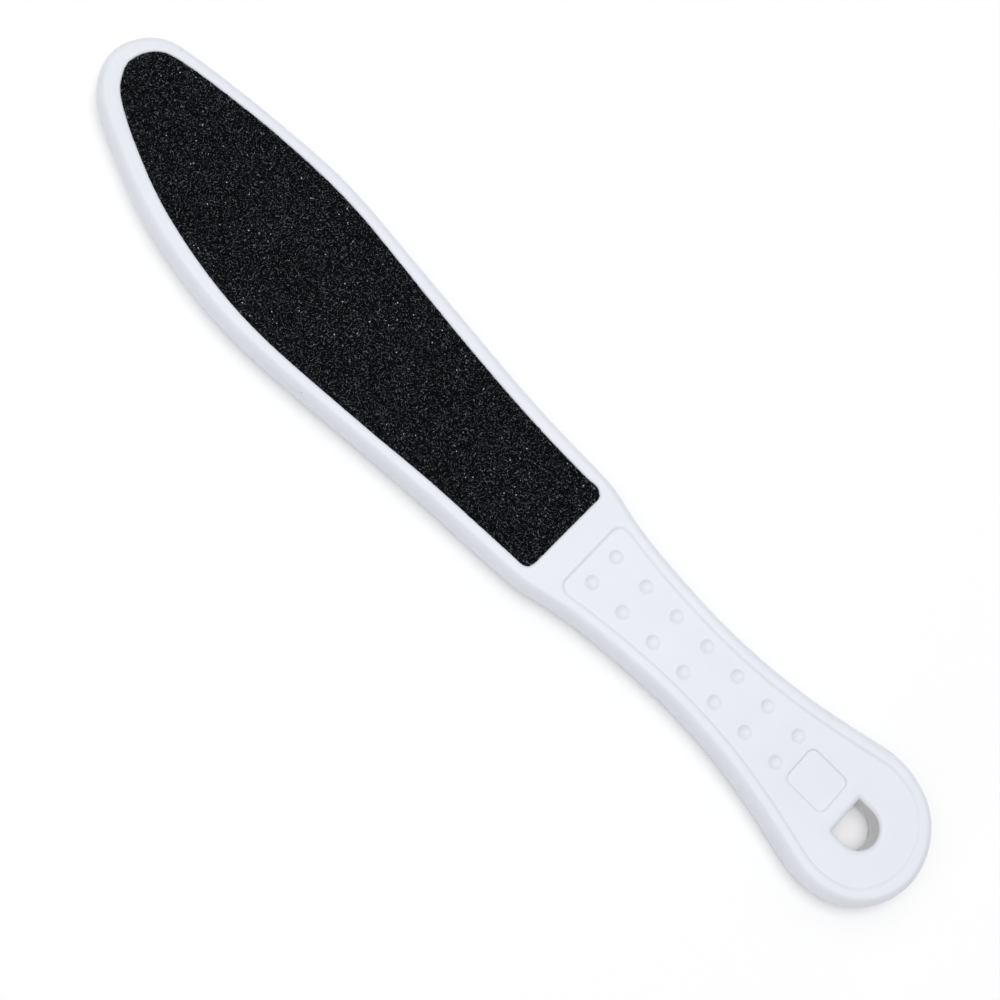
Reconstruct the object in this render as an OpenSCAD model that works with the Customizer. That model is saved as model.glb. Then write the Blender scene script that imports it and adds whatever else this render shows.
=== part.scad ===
// Two-sided foot file: a moulded paddle with an abrasive sheet bonded into a pocket on each face.
// X runs from the blade's tip to the handle's end, Y toward the blade's broad side, and Z up from the back.

/* [Paddle] */
// Length of the blade, from the neck to the tip
blade_len = 150; // [130:1:170]
// Length of the handle, from the neck to its round end
handle_len = 112.8; // [104:0.2:130]
// Thickness of the moulding
body_t = 8.8; // [7:0.1:10]
// Width of the rounded rim in plan, from the outline to the flat of the face
rim_w = 3.2; // [2.4:0.1:3.9]
// Half width of the blade on its broad side
broad_half = 23.9; // [22:0.1:28]
// Half width of the blade on its slim side
slim_half = 21.3; // [20:0.1:26]
// Sideways lean of the tip toward the broad side
tip_lean = 7; // [2:0.5:9]
// Width at the neck, where the blade meets the handle
neck_w = 33.2; // [30:0.2:38]
// Width at the waist of the handle
waist_w = 23; // [20:0.2:28]
// Width of the handle's round end
end_w = 36.6; // [33:0.2:42]
// Sideways lean of that end toward the slim side
end_lean = 1; // [0:0.1:2]

/* [Abrasive sheets] */
// Depth of each pocket
pocket_depth = 1.2; // [1:0.1:1.8]
// Flat land between the rounded rim and a pocket or panel
rim_land = 0.65; // [0.1:0.05:1]
// Reach of the pockets past the neck
pocket_past_neck = 2.2; // [1:0.2:4]
// Corner radius at the straight end of a pocket and a sheet
pocket_corner_r = 2.2; // [1:0.1:4]
// Mean gap between a sheet's edge and its pocket's wall
sheet_gap = 0.45; // [0.4:0.05:0.9]
// Gap between a sheet's straight end and the pocket's
sheet_end_gap = 1.2; // [0.4:0.1:2]
// How far the front sheet was laid off centre, toward the handle and the broad side
sheet_slip = 0.25; // [0:0.05:0.25]
// Thickness of the bonding film
adhesive_t = 0.12; // [0.05:0.01:0.2]
// Thickness of the backing cloth
backing_t = 0.38; // [0.2:0.02:0.45]
// Thickness of the coarse grit coat on the front
coarse_t = 0.5; // [0.2:0.05:0.6]
// Thickness of the fine grit coat on the back
fine_t = 0.3; // [0.15:0.05:0.5]

/* [Handle panels] */
// Depth of the panel sunk in each face of the handle
panel_depth = 0.35; // [0.2:0.05:0.6]
// Distance from the neck to the panel
panel_start = 9; // [6:0.5:11]
// Extra flat land round the panel at the handle's end
end_land = 0.8; // [0:0.1:2]
// Radius of the panel's corners beside the neck
panel_corner_r = 2.4; // [1:0.1:4]
// Number of grip dimples in a row
dimple_count = 7; // [3:1:7]
// Distance between dimples along a row
dimple_pitch = 9.6; // [8:0.1:9.9]
// Distance between the two rows of dimples
dimple_row_gap = 8.2; // [7:0.1:9]
// Diameter of a dimple at the panel's floor
dimple_d = 3.4; // [2.4:0.1:4]
// Depth of a dimple
dimple_depth = 0.45; // [0.3:0.05:1]
// Distance from the panel's start to the first dimples
dimple_inset = 4.7; // [3.5:0.1:5]

/* [Badge recess] */
// Length of the rounded recess for a badge
badge_l = 11.6; // [9:0.1:12]
// Width of the recess
badge_w = 10.2; // [8:0.1:12]
// Radius of its corners
badge_corner_r = 1.8; // [1:0.1:3]
// Depth of the recess below the panel's floor
badge_depth = 0.45; // [0.2:0.05:0.8]
// Distance of the recess from the middle line, toward the slim side
badge_side = 0.3; // [0:0.1:2]
// Distance from the recess to the flat side of the hang hole
badge_to_hole = 4.2; // [3:0.1:5]

/* [Hang hole] */
// Radius of the hole's round side
hole_r = 5.1; // [4:0.1:6]
// Distance from the centre of that round side back from the handle's end
hole_back = 17.8; // [15:0.1:21]
// Distance from that centre to the hole's flat side
hole_flat = 4; // [2:0.1:5]
// Distance of the hole from the middle line, toward the slim side
hole_side = 1.3; // [0:0.1:2]
// Radius of the hole's corners at the flat side
hole_corner_r = 0.4; // [0.3:0.1:1.5]
// Radius that rounds the hole's edge on both faces
hole_edge_r = 1.4; // [0.6:0.1:2]

/* [Hidden] */
// One overrun for every cut that passes a face
over = 0.5;

half_t = body_t / 2;
neck_half = neck_w / 2;
waist_half = waist_w / 2;
end_half = end_w / 2;
end_x = handle_len - end_half;
mid_x = (handle_len - blade_len) / 2;
mid_y = (broad_half - slim_half) / 2;
recess_inset = rim_w + rim_land;
hole_mid_x = handle_len - hole_back;
hole_x = hole_mid_x - hole_flat;
badge_x = hole_x - badge_to_hole - badge_l / 2;

// Blade stations: share of the blade's length from the neck,
// and share of the way from the tip's own line out to the widest half
slim_tip_shares = [[0.986, 0.23], [0.953, 0.415], [0.893, 0.575], [0.807, 0.765], [0.72, 0.895],
                   [0.633, 0.97], [0.54, 1]];
broad_tip_shares = [[0.986, 0.405], [0.953, 0.67], [0.897, 0.785], [0.807, 0.885], [0.713, 0.96],
                    [0.62, 1]];
// Stations of the taper: the second share runs from the neck's half width out to the widest half
slim_taper_shares = [[0.427, 0.83], [0.32, 0.56], [0.213, 0.31], [0.113, 0.15], [0.02, 0.03]];
broad_taper_shares = [[0.52, 0.87], [0.413, 0.64], [0.307, 0.42], [0.207, 0.21], [0.107, 0.07],
                      [0.02, 0.02]];
// Handle stations: share of the handle's length from the neck,
// and share of the way from the waist's half width out to the neck's, then to the end's
neck_flare_shares = [[0.04, 0.87], [0.115, 0.49], [0.23, 0.17], [0.37, 0]];
end_flare_shares = [[0.5, 0.07], [0.612, 0.3], [0.702, 0.6], [0.775, 0.88]];
// Stations round the handle's end: share of the quarter turn on each side, and share of the end's lean
end_round_shares = [[0, 0.45], [1 / 3, 0.7], [2 / 3, 0.9]];
end_flare_lean_share = 0.35;

function between(a, b, share) = a + (b - a) * share;

// Stations of one side, from beside the tip to beside the end, with y as a half width,
// and how far the tip and the end lean toward that side
function side(tip_shares, taper_shares, half, tip_shift, end_shift) = concat(
    [for (s = tip_shares) [-blade_len * s[0], between(tip_shift, half, s[1])]],
    [for (s = taper_shares) [-blade_len * s[0], between(neck_half, half, s[1])]],
    [for (s = neck_flare_shares) [handle_len * s[0], between(waist_half, neck_half, s[1])]],
    [for (s = end_flare_shares)
        [handle_len * s[0], between(waist_half, end_half + end_shift * end_flare_lean_share, s[1])]],
    [for (s = end_round_shares)
        [end_x + end_half * sin(90 * s[0]), end_half * cos(90 * s[0]) + end_shift * s[1]]]
);

slim_side = side(slim_tip_shares, slim_taper_shares, slim_half, -tip_lean, end_lean);
broad_side = side(broad_tip_shares, broad_taper_shares, broad_half, tip_lean, -end_lean);
side_count = len(slim_side);

// All stations, anticlockwise from the tip
stations = concat(
    [[-blade_len, tip_lean]],
    [for (p = slim_side) [p[0], -p[1]]],
    [[handle_len, -end_lean]],
    [for (i = [side_count - 1 : -1 : 0]) broad_side[i]]
);
station_count = len(stations);

// Control points of the closed cubic spline that passes through every station,
// found by moving each control point by what the curve still misses
function wrap(list, i) = list[(i + len(list)) % len(list)];
function controls(list, rounds) = rounds <= 0 ? list : controls([
    for (i = [0 : station_count - 1])
        list[i] + stations[i] - (wrap(list, i - 1) + 4 * list[i] + wrap(list, i + 1)) / 6
], rounds - 1);
spline_round_count = 14;
spline = controls(stations, spline_round_count);

function blend(w, i) = w[0] * wrap(spline, i - 1) + w[1] * spline[i] + w[2] * wrap(spline, i + 1)
    + w[3] * wrap(spline, i + 2);
function place_weights(t) = [
    pow(1 - t, 3) / 6,
    (3 * pow(t, 3) - 6 * pow(t, 2) + 4) / 6,
    (3 * t * (1 + t - pow(t, 2)) + 1) / 6,
    pow(t, 3) / 6
];
function slope_weights(t) = [
    -pow(1 - t, 2) / 2,
    (3 * pow(t, 2) - 4 * t) / 2,
    (1 + 2 * t - 3 * pow(t, 2)) / 2,
    pow(t, 2) / 2
];

// Points of the outline and their outward normals
ring_step_count = 4;
ring_count = station_count * ring_step_count;
ring_turns = [for (k = [0 : ring_step_count - 1]) k / ring_step_count];
outline = [for (i = [0 : station_count - 1]) for (t = ring_turns) blend(place_weights(t), i)];
slopes = [for (i = [0 : station_count - 1]) for (t = ring_turns) blend(slope_weights(t), i)];
normals = [for (s = slopes) [s[1], -s[0]] / norm(s)];

// The outline drawn in by a distance
function inset(d) = [for (i = [0 : ring_count - 1]) outline[i] - normals[i] * d];

// Points of an arc
function arc(centre, r, a0, a1, n) = [
    for (k = [0 : n]) let (a = between(a0, a1, k / n)) centre + r * [cos(a), sin(a)]
];
corner_step_count = 6;
round_step_count = 18;
flat_step_count = 4;

// Outline of a pocket or sheet: the blade's part of an inset outline, with a straight end at x_end
function blade_area(d, x_end, r) =
    let (
        ring = inset(d),
        half = ring_count / 2,
        kept = [for (i = [half : 3 * half]) let (p = wrap(ring, i)) if (p[0] < x_end - r) p],
        slim_y = kept[len(kept) - 1][1],
        broad_y = kept[0][1]
    )
    concat(
        kept,
        arc([x_end - r, slim_y + r], r, -90, 0, corner_step_count),
        arc([x_end - r, broad_y - r], r, 0, 90, corner_step_count)
    );

// Outline of the handle's panel, with a straight end at x_start and drawn in further round its far end
function handle_area(d, x_start, r) =
    let (
        inner = inset(d),
        ring = [for (i = [0 : ring_count - 1]) inner[i] - [end_land * pow(max(0, normals[i][0]), 2), 0]],
        kept = [for (p = ring) if (p[0] > x_start + r) p],
        slim_y = kept[0][1],
        broad_y = kept[len(kept) - 1][1]
    )
    concat(
        kept,
        arc([x_start + r, broad_y - r], r, 90, 180, corner_step_count),
        arc([x_start + r, slim_y + r], r, 180, 270, corner_step_count)
    );

// Outline of the hang hole, grown by a distance: round side, then the two corners of its flat side
function hole_area(grow) =
    let (
        r = hole_r + grow,
        c = hole_corner_r + grow,
        flat_x = hole_x - grow + c
    )
    concat(
        arc([hole_mid_x, -hole_side], r, -90, 90, round_step_count),
        arc([flat_x, r - c - hole_side], c, 90, 180, flat_step_count),
        arc([flat_x, c - r - hole_side], c, 180, 270, flat_step_count)
    );

// Closed skin over rings of equal count, each a list of [x, y] at a height
function lifted(ring, z) = [for (p = ring) [p[0], p[1], z]];
function skin_sides(count, levels) = [
    for (k = [0 : levels - 2]) for (i = [0 : count - 1])
        let (a = k * count + i, b = k * count + (i + 1) % count)
            each [[a, b + count, b], [a, a + count, b + count]]
];

// The paddle's cap is a ladder of rungs across it, from the tip to the end
function ladder(first, up) =
    let (
        half = ring_count / 2,
        faces = concat(
            [[0, ring_count - 1, 1], [half - 1, half + 1, half]],
            [for (i = [1 : half - 2]) each [
                [i, ring_count - i, ring_count - i - 1],
                [i, ring_count - i - 1, i + 1]
            ]]
        )
    )
    [for (f = faces) up ? [f[0], f[1], f[2]] + first * [1, 1, 1] : [f[2], f[1], f[0]] + first * [1, 1, 1]];

rim_step_count = 8;
module paddle_blank() {
    rims = [for (k = [0 : rim_step_count]) let (a = between(-90, 90, k / rim_step_count)) [
        rim_w * (1 - cos(a)),
        half_t * (1 + sin(a))
    ]];
    polyhedron(
        points = [for (s = rims) each lifted(inset(s[0]), s[1])],
        faces = concat(
            skin_sides(ring_count, rim_step_count + 1),
            ladder(0, false),
            ladder(ring_count * rim_step_count, true)
        ),
        convexity = 6
    );
}

// Cutter of the hang hole, flared at both faces by the radius of its edge
edge_step_count = 5;
module hang_hole() {
    edge_angles = [for (k = [edge_step_count - 1 : -1 : 0]) 90 * k / edge_step_count];
    low = [for (a = edge_angles) [hole_edge_r * (1 - cos(a)), hole_edge_r * (1 - sin(a))]];
    flare = low[0][0] + (over + low[0][1]) * tan(edge_angles[0]);
    half_profile = concat([[flare, -over]], low);
    last = len(half_profile) - 1;
    profile = concat(half_profile, [
        for (k = [last : -1 : 0]) [half_profile[k][0], body_t - half_profile[k][1]]
    ]);
    count = len(hole_area(0));
    levels = len(profile);
    polyhedron(
        points = [for (s = profile) each lifted(hole_area(s[0]), s[1])],
        faces = concat(
            skin_sides(count, levels),
            [[for (i = [0 : count - 1]) i]],
            [[for (i = [count - 1 : -1 : 0]) i + count * (levels - 1)]]
        ),
        convexity = 4
    );
}

module rounded_plate(l, w, r, t) {
    translate([-l / 2 + r, -w / 2, 0]) cube([l - 2 * r, w, t]);
    translate([-l / 2, -w / 2 + r, 0]) cube([l, w - 2 * r, t]);
    for (x = [-1, 1]) for (y = [-1, 1])
        translate([x * (l / 2 - r), y * (w / 2 - r), 0]) cylinder(r = r, h = t, $fn = 48);
}

// What is cut into a face that looks up at height body_t: pocket, panel and dimples
module face_cuts() {
    translate([0, 0, body_t - pocket_depth]) linear_extrude(height = pocket_depth + over)
        polygon(blade_area(recess_inset, pocket_past_neck, pocket_corner_r));
    floor_z = body_t - panel_depth;
    translate([0, 0, floor_z]) linear_extrude(height = panel_depth + over)
        polygon(handle_area(recess_inset, panel_start, panel_corner_r));
    ball_r = (pow(dimple_d / 2, 2) + pow(dimple_depth, 2)) / (2 * dimple_depth);
    for (i = [0 : dimple_count - 1]) for (y = [-1, 1])
        translate([
            panel_start + dimple_inset + i * dimple_pitch,
            y * dimple_row_gap / 2,
            floor_z - dimple_depth + ball_r
        ]) sphere(r = ball_r, $fn = 48);
}

// Turns what is made for the front face over to the back
module on_back() {
    translate([0, 0, body_t]) mirror([0, 0, 1]) children();
}

// Sets the origin under the middle of the whole paddle
module placed() {
    translate([-mid_x, -mid_y, 0]) children();
}

module paddle_body() {
    color([0.93, 0.94, 0.96]) placed() difference() {
        paddle_blank();
        face_cuts();
        on_back() face_cuts();
        translate([badge_x, -badge_side, body_t - panel_depth - badge_depth])
            rounded_plate(badge_l, badge_w, badge_corner_r, badge_depth + over);
        hang_hole();
    }
}

// One layer of a sheet in its pocket: z_from and thickness are measured up from the pocket's floor
module sheet_layer(z_from, t, slip) {
    translate([slip, slip, body_t - pocket_depth + z_from]) linear_extrude(height = t)
        polygon(blade_area(recess_inset + sheet_gap, pocket_past_neck - sheet_end_gap, pocket_corner_r));
}

module front_adhesive() {
    color([0.82, 0.8, 0.72]) placed() sheet_layer(0, adhesive_t, sheet_slip);
}

module front_backing() {
    color([0.32, 0.3, 0.28]) placed() sheet_layer(adhesive_t, backing_t, sheet_slip);
}

module front_grit() {
    color([0.06, 0.06, 0.07]) placed() sheet_layer(adhesive_t + backing_t, coarse_t, sheet_slip);
}

module back_adhesive() {
    color([0.82, 0.8, 0.72]) placed() on_back() sheet_layer(0, adhesive_t, 0);
}

module back_backing() {
    color([0.32, 0.3, 0.28]) placed() on_back() sheet_layer(adhesive_t, backing_t, 0);
}

module back_grit() {
    color([0.1, 0.1, 0.11]) placed() on_back() sheet_layer(adhesive_t + backing_t, fine_t, 0);
}

paddle_body();
front_adhesive();
front_backing();
front_grit();
back_adhesive();
back_backing();
back_grit();
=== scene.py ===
import math

import bmesh
import bpy
import numpy as np
from mathutils import Matrix, Vector, kdtree


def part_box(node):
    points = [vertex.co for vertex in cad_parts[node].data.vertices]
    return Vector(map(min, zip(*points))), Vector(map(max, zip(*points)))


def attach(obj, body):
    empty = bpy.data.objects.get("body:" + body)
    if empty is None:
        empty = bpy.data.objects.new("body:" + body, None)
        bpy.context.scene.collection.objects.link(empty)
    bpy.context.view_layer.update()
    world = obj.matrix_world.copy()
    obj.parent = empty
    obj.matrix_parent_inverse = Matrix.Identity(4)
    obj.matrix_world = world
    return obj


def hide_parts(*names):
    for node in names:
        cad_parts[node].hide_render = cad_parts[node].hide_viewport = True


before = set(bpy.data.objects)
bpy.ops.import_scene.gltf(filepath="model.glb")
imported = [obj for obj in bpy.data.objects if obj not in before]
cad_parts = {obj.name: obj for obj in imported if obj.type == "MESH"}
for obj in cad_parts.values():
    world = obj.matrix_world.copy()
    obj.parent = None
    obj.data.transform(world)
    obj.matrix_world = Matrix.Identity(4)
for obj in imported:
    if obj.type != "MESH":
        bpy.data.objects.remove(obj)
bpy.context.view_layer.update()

mm = 0.001
scene = bpy.context.scene

# Studio: the file lies on a white sweep with pale card all round it, under four round lamps. One hangs
# overhead, a weak one leans toward the tip and a wide one to each side, so only a short soft shadow shows.
# The camera looks down from near the middle, leaning a little from the slim side.
sweep_half = 900 * mm
sweep_drop = 0.02 * mm
card_glow = 0.22
lamp_away = 2
lamps = (  # name, lean along X and along Y in degrees, radius in metres, power in watts
    ("overhead_bank", 0, 0, 0.9, 19.9),
    ("tip_lamp", -45, 0, 0.9, 5.2),
    ("broad_side_lamp", 0, 45, 1.7, 15.2),
    ("slim_side_lamp", 0, -45, 1.7, 14.8),
)

camera_data = bpy.data.cameras.new("camera")
camera_data.sensor_width = 36
camera_data.lens = 64.8
camera_data.clip_start = 10 * mm
camera_data.clip_end = 20
camera = bpy.data.objects.new("camera", camera_data)
camera.location = (12.19 * mm, -115.57 * mm, 398.70 * mm)
camera.rotation_euler = [math.radians(turn) for turn in (11.984, -10.090, 43.565)]
scene.collection.objects.link(camera)
scene.camera = camera
scene.view_settings.view_transform = "Standard"


class Shade:
    """A socket of a material's nodes. Arithmetic on it adds Math nodes, and make() adds any other node."""

    def __init__(self, tree, socket):
        self.tree, self.socket = tree, socket

    def make(self, kind, settings=(), inputs=(), output=0):
        """Adds a node: its settings come first, then its values and links."""
        node = self.tree.nodes.new(kind)
        for key, value in dict(settings).items():
            setattr(node, key, value)
        for key, value in dict(inputs).items():
            if isinstance(value, Shade):
                self.tree.links.new(value.socket, node.inputs[key])
            else:
                node.inputs[key].default_value = value
        return Shade(self.tree, node.outputs[output])

    def math(self, operation, other=0.0):
        return self.make("ShaderNodeMath", {"operation": operation}, {0: self, 1: other})

    def __add__(self, other):
        return self.math("ADD", other)

    __radd__ = __add__

    def __sub__(self, other):
        return self.math("SUBTRACT", other)

    def __rsub__(self, other):
        return self.make("ShaderNodeMath", {"operation": "SUBTRACT"}, {0: other, 1: self})

    def __mul__(self, other):
        return self.math("MULTIPLY", other)

    __rmul__ = __mul__

    def spread(self, low, high, to_low=0.0, to_high=1.0):
        """This value taken from one range to another, smoothly and clamped."""
        return self.make(
            "ShaderNodeMapRange",
            {"interpolation_type": "SMOOTHSTEP"},
            {"Value": self, "From Min": low, "From Max": high, "To Min": to_low, "To Max": to_high},
            "Result",
        )

    def noise(self, scale, detail=2.0, rough=0.5, output="Fac"):
        """Noise at this place."""
        inputs = {"Vector": self, "Scale": scale, "Detail": detail, "Roughness": rough}
        return self.make("ShaderNodeTexNoise", (), inputs, output)

    def cells(self, scale, output="Distance"):
        """Cells round scattered points at this place."""
        return self.make("ShaderNodeTexVoronoi", (), {"Vector": self, "Scale": scale}, output)

    def mix(self, first, second):
        """Two colours mixed by this factor."""
        first, second = [given if isinstance(given, Shade) else (*given, 1) for given in (first, second)]
        return self.make("ShaderNodeMix", {"data_type": "RGBA"}, {0: self, 6: first, 7: second}, 2)

    def bump(self, distance, strength=1.0):
        """The normal that this height gives."""
        return self.make("ShaderNodeBump", (), {"Height": self, "Distance": distance, "Strength": strength})


def new_finish(name, **constants):
    """A material with its Principled shader's constants set, the shader, and the place in object space."""
    material = bpy.data.materials.new(name)
    material.use_nodes = True
    shader = material.node_tree.nodes["Principled BSDF"]
    for key, value in constants.items():
        shader.inputs[key.replace("_", " ")].default_value = value
    return material, shader, Shade(material.node_tree, None).make("ShaderNodeTexCoord", output="Object")


def feed(shader, **inputs):
    """Links varying values to the shader's sockets."""
    for key, value in inputs.items():
        value.tree.links.new(value.socket, shader.inputs[key.replace("_", " ")])


sweep = bmesh.new()
bmesh.ops.create_grid(sweep, x_segments=1, y_segments=1, size=sweep_half)
sweep_data = bpy.data.meshes.new("sweep")
sweep.to_mesh(sweep_data)
sweep.free()
floor = bpy.data.objects.new("sweep", sweep_data)
floor.location.z = -sweep_drop
scene.collection.objects.link(floor)
card, shader, place = new_finish("white_card", Roughness=0.9, Specular_IOR_Level=0.03)
feed(shader, Base_Color=place.noise(6.0).mix((0.97, 0.97, 0.97), (0.98, 0.98, 0.98)))
sweep_data.materials.append(card)

world = bpy.data.worlds.new("card_round")
world.use_nodes = True
world.node_tree.nodes["Background"].inputs["Color"].default_value = (1, 1, 1, 1)
world.node_tree.nodes["Background"].inputs["Strength"].default_value = card_glow
scene.world = world

for name, lean_x, lean_y, radius, power in lamps:
    lamp_data = bpy.data.lights.new(name, "AREA")
    lamp_data.shape = "DISK"
    lamp_data.size = 2 * radius
    lamp_data.energy = power
    lamp = bpy.data.objects.new(name, lamp_data)
    aim = Vector((math.tan(math.radians(lean_x)), math.tan(math.radians(lean_y)), 1)).normalized()
    lamp.location = aim * lamp_away
    lamp.rotation_euler = aim.to_track_quat("Z", "Y").to_euler()
    scene.collection.objects.link(lamp)

# Paddle: one injection moulding in white plastic with a cold tint, glossy and a little milky in depth.
# Its two halves meet in a fine parting line half way up. Each face has a rounded rim, a pocket for a sheet,
# a sunk handle panel with grip dimples, and the hang hole, and the front has a shallow square recess.
half_thick = 4.4 * mm
rim_wide = 2.2 * mm
parting_proud, parting_half = 0.03 * mm, 0.1 * mm
sheet_gap = 0.05 * mm
pocket_deep, pocket_corner = 1.2 * mm, 0.3 * mm
soft_lip, soft_turn = 1.1 * mm, 42
sharp_lip, sharp_turn = 0.06 * mm, 88
ledge_wide, ledge_fall = 0.3 * mm, 0.28
ledge_along = ((0, 8, 22), (1, 0.8, 0))  # millimetres from the tip, and share of the ledge's width
ledge_across = ((0, 8), (1, 0))  # the same toward the broad side
ledge_shares = (0, 0.1, 0.25, 0.4, 0.6, 0.75, 0.9, 1)
panel_deep, panel_slope = 0.35 * mm, 28
panel_brow, panel_foot = 0.22 * mm, 0.70 * mm
square_deep, square_turn = 0.45 * mm, 50
square_lip, square_wall, square_corner = 0.2 * mm, 0.22 * mm, 0.25 * mm
square_least = 10 * mm
dimple_wide, dimple_deep, dimple_lip = 3.4 * mm, 0.45 * mm, 0.16 * mm
hole_round, hole_turn_front, hole_turn_back = 1.6 * mm, 52, 84
# Shares of painted shade, a warm grey in the plastic's colour, for the square recess, dimples and hole wall
square_shade, dimple_shade, hole_shade = 0.08, 0.15, 1
hair, seam_weld = 0.02 * mm, 0.004 * mm

# The front sheet was cut and laid unevenly. Each pair of numbers is a place along X and how far outward the
# sheet's edge strays there, both in millimetres. Its straight end strays by the last pair, slim side first.
slim_strays = [(-127, -0.95), (-121, -0.9), (-113, -0.42), (-90, -0.3), (-75, 0.0), (-55, 0.4),
               (-25, 0.66), (-9, 0.4), (20, 0.4)]
broad_strays = [(-127, -0.6), (-122, 0.02), (-113, 0.36), (-93, 0.5), (-76, 0.2), (-62, 0.36),
                (-44, 0.03), (-28, -0.22), (-5, -0.12), (15, -0.14), (19, 0.2)]
end_strays = (0.18, 0.43)


def finished_piece(name, mesh, material, node, smooth=True):
    """Turns a bmesh into a piece that rides on the one body and stands for a CAD node."""
    bmesh.ops.recalc_face_normals(mesh, faces=mesh.faces)
    data = bpy.data.meshes.new(name)
    mesh.to_mesh(data)
    mesh.free()
    for polygon in data.polygons:
        polygon.use_smooth = smooth
    data.materials.append(material)
    piece = bpy.data.objects.new(name, data)
    scene.collection.objects.link(piece)
    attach(piece, "root")
    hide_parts(node)


def level_rings(node, height):
    """The closed rings where a level plane cuts a CAD node, the longest first, each from its least X on."""
    weld, snap = 0.001 * mm, 0.0001 * mm
    cut = bmesh.new()
    cut.from_mesh(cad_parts[node].data)
    bmesh.ops.remove_doubles(cut, verts=cut.verts, dist=weld)
    bmesh.ops.bisect_plane(
        cut, geom=[*cut.verts, *cut.edges, *cut.faces], dist=snap,
        plane_co=(0, 0, height), plane_no=(0, 0, 1), clear_inner=True, clear_outer=True,
    )
    rings, left = [], set(cut.verts)
    while left:
        start = point = left.pop()
        ring, came = [point.co.copy()], None
        while True:
            came = next(edge for edge in point.link_edges if edge is not came)
            point = came.other_vert(point)
            if point is start:
                break
            left.discard(point)
            ring.append(point.co.copy())
        turn = sum(a.x * b.y - b.x * a.y for a, b in zip(ring, ring[1:] + ring[:1]))
        ring = ring if turn > 0 else ring[::-1]
        first = min(range(len(ring)), key=lambda k: (round(ring[k].x, 7), round(ring[k].y, 7)))
        rings.append(ring[first:] + ring[:first])
    cut.free()
    return sorted(
        rings, key=lambda ring: (round(ring[0].x - max(p.x for p in ring), 5), ring[0].x, ring[0].y)
    )


def grown(ring, by):
    """A ring moved outward by a distance."""
    moved = []
    for before, here, after in zip(ring[-1:] + ring[:-1], ring, ring[1:] + ring[:1]):
        a, b = (here - before).normalized(), (after - here).normalized()
        out = Vector((a.y + b.y, -a.x - b.x, 0))
        moved.append(here + out * (2 * by / max(out.length_squared, 1)))
    return moved


def refined(ring):
    """A ring with a point added between each two of its own, by the four-point rule."""
    found = []
    for k, here in enumerate(ring):
        before, after, far = ring[k - 1], ring[(k + 1) % len(ring)], ring[(k + 2) % len(ring)]
        found += [here, (here + after) * (9 / 16) - (before + far) / 16]
    return found


def strayed(ring):
    """The front sheet's ring as it was really cut and laid."""
    tip_y, blend, end_zone = 5.5 * mm, 8 * mm, 0.4 * mm
    tip_x, end_x = min(p.x for p in ring), max(p.x for p in ring)
    moved = []
    for here, out in zip(ring, grown(ring, 1 * mm)):
        if here.x > end_x - end_zone:
            slim, broad = end_strays
        else:
            slim, broad = (np.interp(here.x / mm, *zip(*strays)) for strays in (slim_strays, broad_strays))
        axis_y = np.interp(here.x, (tip_x, end_x), (tip_y, 0))
        share = min(max((here.y - axis_y) / blend + 0.5, 0), 1)
        moved.append(here + (out - here) * (slim + (broad - slim) * share))
    return moved


def ledge_width(here, ring):
    """How wide a sloping ledge shows outside the pocket's lip: only at the tip's slim side."""
    from_tip = (here.x - min(p.x for p in ring)) / mm
    along = np.interp(from_tip, *ledge_along)
    return ledge_wide * float(along * np.interp(here.y / mm, *ledge_across))


def node_ring(node):
    """A CAD node's outline half way up."""
    low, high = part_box(node)
    return level_rings(node, (low.z + high.z) / 2)[0]


def ring_face(mesh, ring, height):
    return mesh.faces.new([mesh.verts.new((p.x, p.y, height)) for p in ring])


def draw_in(mesh, face, steps):
    """Insets a face again and again by (inset, rise) steps, and returns the edges it had at first.

    A face without a normal yet only doubles its ring in the first step, so that step is a filler.
    """
    rim = list(face.edges)
    for inset, rise in steps:
        bmesh.ops.inset_region(
            mesh, faces=[face], thickness=inset, depth=rise, use_even_offset=True, use_boundary=True
        )
    return rim


def bend_steps(wide, tall, first, last, count, level_first):
    """Steps along a quarter round from one angle to another, that starts level or upright."""
    steps = []
    for k in range(count):
        a, b = (math.radians(first + (last - first) * (k + e) / count) for e in (0, 1))
        across, along = math.sin(b) - math.sin(a), math.cos(a) - math.cos(b)
        steps.append((wide * across, tall * along) if level_first else (wide * along, tall * across))
    return steps


def inset_sum(steps):
    return sum(inset for inset, rise in steps)


def cut_pocket(shell, sheet, top, front):
    """Cuts the pocket that a sheet lies in, and returns the edges of its opening."""
    pocket_ring = grown(sheet, sheet_gap)
    lip_steps = (bend_steps(soft_lip, -soft_lip, 0, soft_turn, 6, True)
                 + bend_steps(sharp_lip, -sharp_lip, soft_turn, sharp_turn, 3, True))
    inner = grown(pocket_ring, inset_sum(lip_steps) + hair)
    strips = [ledge_width(here, pocket_ring) if front else 0.0 for here in inner]
    outer = [here + (out - here) * wide for here, out, wide in zip(inner, grown(inner, 1), strips)]
    pocket = ring_face(shell, outer, top)
    opening = list(pocket.edges)
    for share in ledge_shares:
        draw_in(shell, pocket, [(hair / 10, 0)])
        for loop, start, end, wide in zip(pocket.loops, outer, inner, strips):
            drop = ledge_fall * wide * share ** 2 * (3 - 2 * share)
            loop.vert.co = (*start.lerp(end, share).xy, top - drop)
    draw_in(shell, pocket, [(hair, 0)] + lip_steps + [(hair, 0)])
    for vert in pocket.verts:
        vert.co.z = top + pocket_corner - pocket_deep
    draw_in(shell, pocket, bend_steps(pocket_corner, -pocket_corner, 0, 90, 4, False) + [(hair, 0)])
    return opening


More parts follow.
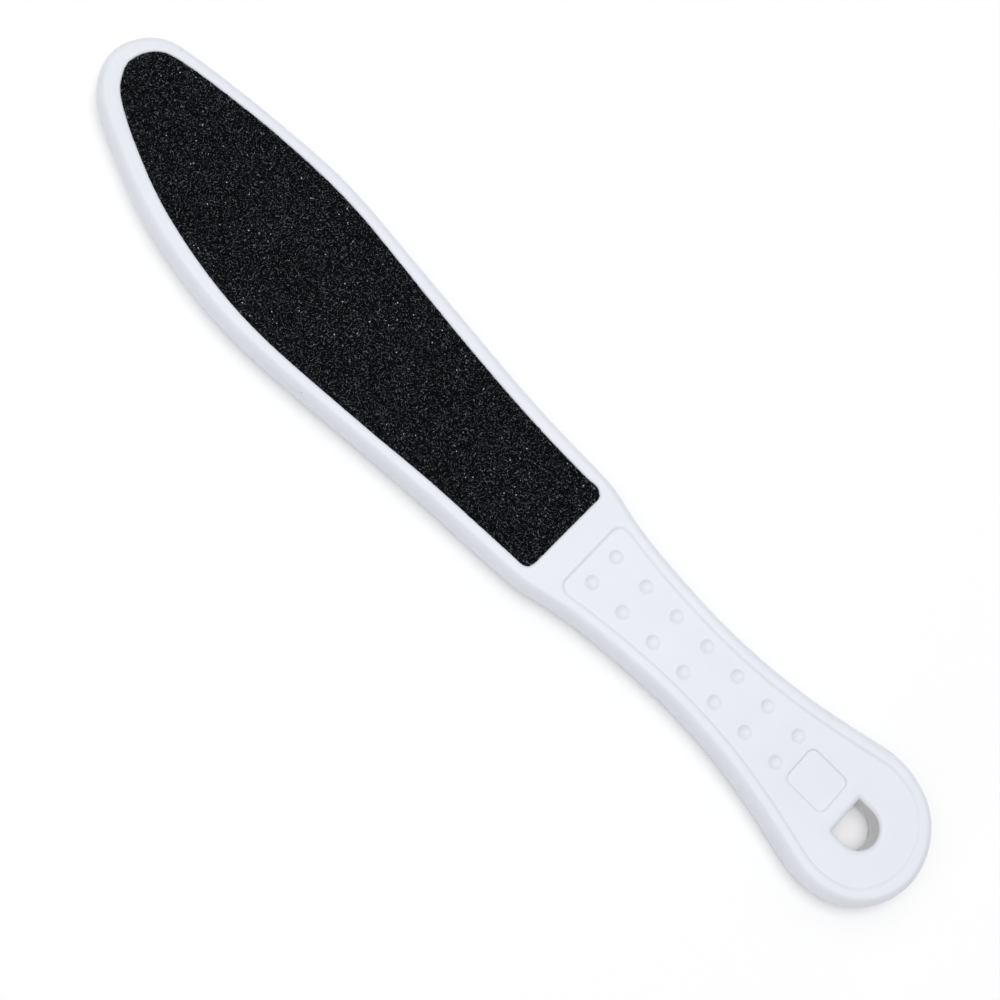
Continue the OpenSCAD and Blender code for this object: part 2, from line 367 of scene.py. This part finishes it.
def sink_panel(shell, ring, top):
    """Sinks the handle's panel with a soft step round it, and returns its floor and its opening's edges."""
    brow_steps = bend_steps(panel_brow, -panel_brow, 0, panel_slope, 4, True)
    foot_steps = bend_steps(panel_foot, -panel_foot, 0, panel_slope, 6, True)[::-1]
    between = panel_deep + sum(rise for inset, rise in brow_steps + foot_steps)
    steps = brow_steps + [(between / math.tan(math.radians(panel_slope)), -between)] + foot_steps
    panel = ring_face(shell, grown(ring, inset_sum(steps) / 2 + hair), top)
    return panel, draw_in(shell, panel, [(hair, 0)] + steps + [(hair, 0)])


def sink_square(shell, ring, floor_z):
    """Sinks the shallow square recess, and returns the edges of its opening."""
    rounds_tall = (square_lip + square_corner) * (1 - math.cos(math.radians(square_turn)))
    steps = (bend_steps(square_lip, -square_lip, 0, square_turn, 4, True)
             + [(square_wall, rounds_tall - square_deep)]
             + bend_steps(square_corner, -square_corner, 0, square_turn, 4, True)[::-1])
    square = ring_face(shell, grown(ring, square_lip + hair), floor_z)
    opening = draw_in(shell, square, [(hair, 0)] + steps + [(hair, 0)])
    # Painted shade: the recess floor is greyed a little
    for vert in square.verts:
        vert[shell.verts.layers.float["painted_hollow_shade"]] = square_shade
    return opening


def sink_dimple(shell, ring, floor_z):
    """Sinks a round dimple, a small lip and then part of a ball, and returns its opening's edges."""
    points, bowl_rings, lip_reach = 40, 8, 0.41
    ball = (dimple_wide ** 2 / 4 + dimple_deep ** 2) / (2 * dimple_deep)
    slope = math.degrees(math.asin(dimple_wide / 2 / ball))
    rests = [math.radians(slope * k / bowl_rings) for k in range(bowl_rings, 0, -1)]
    bowl_steps = [(ball * (math.sin(a) - math.sin(b)), -ball * (math.cos(b) - math.cos(a)))
                  for a, b in zip(rests, rests[1:])]
    lip_steps = bend_steps(dimple_lip, -dimple_lip, 0, slope, 4, True)
    centre = Vector(((max(p.x for p in ring) + min(p.x for p in ring)) / 2,
                     (max(p.y for p in ring) + min(p.y for p in ring)) / 2, floor_z))
    radius = dimple_wide / 2 + dimple_lip * lip_reach + hair
    circle = bmesh.ops.create_circle(
        shell, segments=points, radius=radius, matrix=Matrix.Translation(centre)
    )
    dimple = shell.faces.new(circle["verts"])
    opening = draw_in(shell, dimple, [(hair, 0)] + lip_steps + bowl_steps)
    # Painted shade: each dimple's bowl is greyed
    for vert in shell.verts:
        if (vert.co - centre).xy.length < dimple_wide / 2 and vert.co.z < floor_z - hair:
            vert[shell.verts.layers.float["painted_hollow_shade"]] = dimple_shade
    return opening


def cut_hole(shell, floor_z, turn):
    """Cuts the hang hole down to the middle plane, its lip turned so far in, and returns its edges."""
    steps = (bend_steps(hole_round, -hole_round, 0, turn, 8, True)
             + bend_steps(sharp_lip, -sharp_lip, turn, sharp_turn, 3, True))
    draft, wall_split = 0.001 * mm, 0.3 * mm
    hole = ring_face(shell, grown(hole_ring, inset_sum(steps) + hair), floor_z)
    lip_end = floor_z + sum(rise for inset, rise in steps)
    wall_steps = [(draft, wall_split - lip_end), (draft, -wall_split)]
    around = set(shell.verts)
    opening = draw_in(shell, hole, [(hair, 0)] + steps + wall_steps)
    # Painted shade: the hole's wall below its lip is greyed fully
    for vert in shell.verts:
        if vert not in around and vert.co.z < lip_end:
            vert[shell.verts.layers.float["painted_hollow_shade"]] = hole_shade
    bmesh.ops.delete(shell, geom=[hole], context="FACES_ONLY")
    return opening


def half_shell(face_z, inward, sheet, front):
    """One half of the moulding above its middle plane, with the cuts of the face at height face_z."""
    shell = bmesh.new()
    # Each vertex holds a share of painted shade that greys the plastic's colour in the hollows
    shell.verts.layers.float.new("painted_hollow_shade")
    block = ring_face(shell, grown(refined(outline), parting_proud), 0)
    block.normal_update()
    rim_tall = half_thick - parting_half - hair
    draw_in(shell, block, [(hair, parting_half), (parting_proud - hair, hair)])
    draw_in(shell, block, bend_steps(rim_wide, rim_tall, 0, 90, 20, False) + [(hair, 0)])
    land_edges = list(block.edges)
    top = block.calc_center_median().z
    bmesh.ops.delete(shell, geom=[block], context="FACES_ONLY")

    # A slice half way down the panel's step has three rings: the outline, the pocket and the panel
    panel_ring = level_rings("paddle_body", face_z + inward * panel_deep / 2)[2]
    land_edges += cut_pocket(shell, sheet, top, front)
    panel, panel_edges = sink_panel(shell, panel_ring, top)
    land_edges += panel_edges
    bmesh.ops.triangle_fill(shell, use_beauty=True, edges=land_edges, normal=(0, 0, 1))

    # A slice just below the panel's floor has the outline, the pocket, and all that is cut into the floor
    floor_z = panel.calc_center_median().z
    floor_edges = list(panel.edges)
    bmesh.ops.delete(shell, geom=[panel], context="FACES_ONLY")
    below_floor = 0.2 * mm
    for ring in level_rings("paddle_body", face_z + inward * (panel_deep + below_floor))[2:]:
        wide = max(p.x for p in ring) - min(p.x for p in ring)
        if wide < dimple_wide:
            floor_edges += sink_dimple(shell, ring, floor_z)
        elif front and wide > square_least:
            floor_edges += sink_square(shell, ring, floor_z)
    floor_edges += cut_hole(shell, floor_z, hole_turn_front if front else hole_turn_back)
    bmesh.ops.triangle_fill(shell, use_beauty=True, edges=floor_edges, normal=(0, 0, 1))
    return shell


outline, hole_ring = level_rings("paddle_body", half_thick)
front_ring, back_ring = strayed(node_ring("front_grit")), node_ring("back_grit")
moulding = half_shell(2 * half_thick, -1, front_ring, True)
back_half = half_shell(0, 1, back_ring, False)
bmesh.ops.scale(back_half, vec=(1, 1, -1), verts=back_half.verts)
carrier = bpy.data.meshes.new("back_half")
back_half.to_mesh(carrier)
back_half.free()
moulding.from_mesh(carrier)
bpy.data.meshes.remove(carrier)
bmesh.ops.remove_doubles(moulding, verts=moulding.verts, dist=seam_weld)
bmesh.ops.translate(moulding, vec=(0, 0, half_thick), verts=moulding.verts)

# A cold white with faint clouds and rare brown specks, and painted shade, a warm grey, in the hollows
plastic, shader, place = new_finish(
    "white_plastic", Specular_IOR_Level=0.45, IOR=1.49, Subsurface_Weight=0.12, Subsurface_Scale=1.2 * mm,
)
shader.inputs["Subsurface Radius"].default_value = (1.0, 0.95, 0.9)
cold_white = place.noise(60.0, 3.0).spread(0.3, 0.7).mix((0.752, 0.775, 0.838), (0.770, 0.791, 0.851))
specked = place.cells(90.0).spread(0.012, 0.02).mix((0.45, 0.42, 0.38), cold_white)
# Painted shade: each vertex's share mixes the colour toward a warm grey in the dimples, recess and hole
painted_hollow_shade = place.make("ShaderNodeAttribute", {"attribute_name": "painted_hollow_shade"}, output="Fac")
grain = place.noise(3500.0, 3.0, 0.6)
flow = place.noise(260.0)
feed(
    shader,
    Base_Color=painted_hollow_shade.mix(specked, (0.69, 0.68, 0.68)),
    Roughness=0.30 + 0.08 * flow,
    Normal=(grain * 0.5 + flow).bump(0.004 * mm, 0.5),
)
finished_piece("paddle_moulding", moulding, plastic, "paddle_body")

# Bonding film and backing cloth: the two thin layers under each grit coat, die-cut with it and glued flat
# into the pocket. The film is clear amber, and the cloth is a plain weave stiff with resin.
# They show only as a thin line in the gap beside the sheet.
layer_inset = 0.08 * mm
film, shader, place = new_finish("bonding_film", Roughness=0.35, Specular_IOR_Level=0.5)
feed(shader, Base_Color=place.noise(900.0).mix((0.78, 0.74, 0.62), (0.86, 0.84, 0.76)))


def threads(place, way):
    """Threads that run side by side along one axis."""
    settings = {"wave_type": "BANDS", "bands_direction": way}
    return place.make("ShaderNodeTexWave", settings, {"Vector": place, "Scale": 900.0}, "Fac")


cloth, shader, place = new_finish("backing_cloth", Roughness=0.8)
weave = threads(place, "X") * threads(place, "Y")
feed(shader, Base_Color=weave.mix((0.16, 0.15, 0.14), (0.30, 0.28, 0.26)), Normal=weave.bump(0.03 * mm))


def die_cut(name, node, ring, material):
    """One flat layer of a sheet, cut to a ring, at the height of its CAD node."""
    low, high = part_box(node)
    layer = bmesh.new()
    ring_face(layer, ring, low.z)
    lifted = bmesh.ops.extrude_face_region(layer, geom=list(layer.faces))["geom"]
    lifted_verts = [v for v in lifted if isinstance(v, bmesh.types.BMVert)]
    bmesh.ops.translate(layer, vec=(0, 0, high.z - low.z), verts=lifted_verts)
    finished_piece(name, layer, material, node, smooth=False)


for side, ring in (("front", front_ring), ("back", back_ring)):
    trimmed = grown(ring, -layer_inset)
    die_cut(f"{side}_film", f"{side}_adhesive", trimmed, film)
    die_cut(f"{side}_cloth", f"{side}_backing", trimmed, cloth)

# Grit coats: black silicon carbide grains set in black resin, coarse on the front and fine on the back.
# Each coat is one crust with its grains standing in it, on the cloth that carries it.
# Its cut edge is crumbled, as a sheet cut by a blade is.
net_jitter = 0.38
grain_lowest, grain_bias = 0.15, 1.3
grain_reach, grain_tilt = 0.75, 0.55
dip_share, edge_drop_share = 0.3, 0.25
bite_pitch, bite_run = 0.06 * mm, 7


def inside(points, ring):
    """Which of the points lie inside a ring."""
    xs, ys = points[:, 0], points[:, 1]
    hit = np.zeros(len(points), bool)
    for a, b in zip(ring, ring[1:] + ring[:1]):
        if a.y == b.y:
            continue
        crosses = (a.y > ys) != (b.y > ys)
        hit ^= crosses & (xs < (b.x - a.x) * (ys - a.y) / (b.y - a.y) + a.x)
    return hit


def finely(ring, pitch):
    """A ring's points with more set between them, no further apart than a pitch."""
    found = []
    for a, b in zip(ring, ring[1:] + ring[:1]):
        steps = math.ceil((b - a).length / pitch)
        found += [a.lerp(b, k / steps) for k in range(steps)]
    return found


def point_finder(points):
    """A tree that finds the nearest of some points on the level."""
    finder = kdtree.KDTree(len(points))
    for k, point in enumerate(points):
        finder.insert((point[0], point[1], 0), k)
    finder.balance()
    return finder


def grit_coat(name, node, ring, material, up, net_pitch, grain_gap, tall, crumble, seed):
    """A crust of grains over a ring, with a crumbled edge, on the side that up points to."""
    draw = np.random.default_rng(seed)
    low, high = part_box(node)
    seat, level = (low.z, high.z) if up > 0 else (high.z, low.z)

    # A jittered net over the ring
    margin = Vector((net_pitch, net_pitch, 0))
    lo = Vector((min(p.x for p in ring), min(p.y for p in ring), 0)) - margin
    hi = Vector((max(p.x for p in ring), max(p.y for p in ring), 0)) + margin
    long, wide = hi.x - lo.x, hi.y - lo.y
    crust = bmesh.new()
    bmesh.ops.create_grid(
        crust, x_segments=int(long / net_pitch), y_segments=int(wide / net_pitch), size=0.5
    )
    bmesh.ops.scale(crust, vec=(long, wide, 1), verts=crust.verts)
    bmesh.ops.translate(crust, vec=((lo.x + hi.x) / 2, (lo.y + hi.y) / 2, 0), verts=crust.verts)
    verts = list(crust.verts)
    jitter = draw.uniform(-net_jitter, net_jitter, (len(verts), 2)) * net_pitch
    spots = np.array([v.co[:2] for v in verts]) + jitter
    keep = inside(spots, ring)
    for vert, spot in zip(verts, spots):
        vert.co.xy = spot
    bmesh.ops.delete(crust, geom=[v for v, k in zip(verts, keep) if not k], context="VERTS")
    bmesh.ops.delete(crust, geom=[v for v in crust.verts if not v.link_faces], context="VERTS")

    # Grains of many heights and tilts, each a low mound round its seat
    spots = np.array([v.co[:2] for v in crust.verts])
    count = int(long * wide / grain_gap ** 2)
    seats = np.column_stack([draw.uniform(lo.x, hi.x, count), draw.uniform(lo.y, hi.y, count)])
    nearest_seat = point_finder(seats)
    heights = draw.uniform(grain_lowest, 1, count) ** grain_bias
    tilts = draw.normal(0, grain_tilt, (count, 2))
    for vert, spot in zip(crust.verts, spots):
        k, far = nearest_seat.find((spot[0], spot[1], 0))[1:]
        slope = float((spot - seats[k]) @ tilts[k])
        lift = heights[k] * tall * max(0, 1 - (far / (grain_reach * grain_gap)) ** 2) + slope
        vert.co.z = level + up * max(-dip_share * tall, min(lift, tall))

    # The crumbled edge, its wall down to the cloth, and the underside
    line = finely(ring, bite_pitch)
    smoothing = np.hanning(bite_run + 2)[1:-1] / 2
    bites = np.convolve(draw.normal(0, 1, len(line) + bite_run - 1), smoothing, "valid") * crumble
    cut_line = point_finder([here + (out - here) * float(bite)
                             for here, out, bite in zip(line, grown(line, 1), bites)])
    edge = [e for e in crust.edges if e.is_boundary]
    for vert in [v for v in crust.verts if v.is_boundary]:
        vert.co.xy = cut_line.find((vert.co.x, vert.co.y, 0))[0].xy
        vert.co.z = level - up * edge_drop_share * tall * draw.uniform(0, 1)
    wall = bmesh.ops.extrude_edge_only(crust, edges=edge)["geom"]
    for vert in [v for v in wall if isinstance(v, bmesh.types.BMVert)]:
        vert.co.z = seat
    bmesh.ops.holes_fill(crust, edges=[e for e in wall if isinstance(e, bmesh.types.BMEdge)], sides=0)
    finished_piece(name, crust, material, node, smooth=False)


# The coarse coat has painted highlights: short bright curls along its grains' edges, made by three layers
# of broken, warped rings, and here and there a painted glint, a bright dot. Each layer: shift, scale,
# rings, breaks.
highlight_curl_layers = ((0.0, 400.0, 4.4, 1700.0), (7 * mm, 560.0, 3.2, 2200.0), (3 * mm, 310.0, 5.6, 1500.0))
coarse, shader, place = new_finish("black_grit", Specular_IOR_Level=0.03)
facets = place.cells(2600.0, "Color")
warp = place.noise(420.0, 1.0, output="Color")
painted_highlight_curls = None
for shift, scale, rings, breaks in highlight_curl_layers:
    warped = {0: warp, 1: (1.1 * mm,) * 3, 2: place}
    swirl = place.make("ShaderNodeVectorMath", {"operation": "MULTIPLY_ADD"}, warped)
    swirl = swirl.make("ShaderNodeVectorMath", {"operation": "ADD"}, {0: swirl, 1: (shift, shift / 2, 0)})
    wave = (swirl.cells(scale) * rings + swirl.noise(420.0, 1.0)).math("FRACT")
    crest = 1 - (wave * 2 - 1).math("ABSOLUTE").spread(0.01, 0.12)
    layer = crest * swirl.noise(breaks, 1.0).spread(0.50, 0.56)
    painted_highlight_curls = painted_highlight_curls.math("MAXIMUM", layer) if painted_highlight_curls else layer
lit = place.noise(1900.0, 1.0).spread(0.3, 0.72, 0.2, 1.0)
# The painted highlights mix a pale blue-grey into the near-black colour
grit_with_painted_highlights = (painted_highlight_curls * lit).mix((0.0032, 0.0034, 0.0043), (0.25, 0.28, 0.325))
# Painted glints: sparse bright dots in the colour
painted_glint_dot = 1 - place.cells(460.0).spread(0.04, 0.075)
feed(
    shader,
    Base_Color=painted_glint_dot.mix(grit_with_painted_highlights, (0.64, 0.68, 0.74)),
    Roughness=0.45 + 0.3 * place.noise(1800.0),
    Normal=facets.bump(0.10 * mm, 0.8),
)
grit_coat("front_grit_coat", "front_grit", front_ring, coarse, up=1, net_pitch=0.26 * mm,
          grain_gap=0.55 * mm, tall=0.30 * mm, crumble=0.17 * mm, seed=11)

# The fine coat shows small facets, with glints painted into its colour in patches
fine, shader, place = new_finish("fine_black_grit", Specular_IOR_Level=0.05)
facets = place.cells(3600.0, "Color")
glint = (1 - place.cells(2400.0).spread(0.12, 0.42)) * place.noise(900.0, 3.0).spread(0.42, 0.68)
feed(
    shader,
    Base_Color=glint.mix((0.0036, 0.0038, 0.0046), (0.10, 0.11, 0.127)),
    Roughness=0.5 + 0.3 * place.noise(3000.0),
    Normal=facets.bump(0.05 * mm, 0.8),
)
grit_coat("back_grit_coat", "back_grit", back_ring, fine, up=-1, net_pitch=0.42 * mm,
          grain_gap=0.42 * mm, tall=0.12 * mm, crumble=0.06 * mm, seed=23)
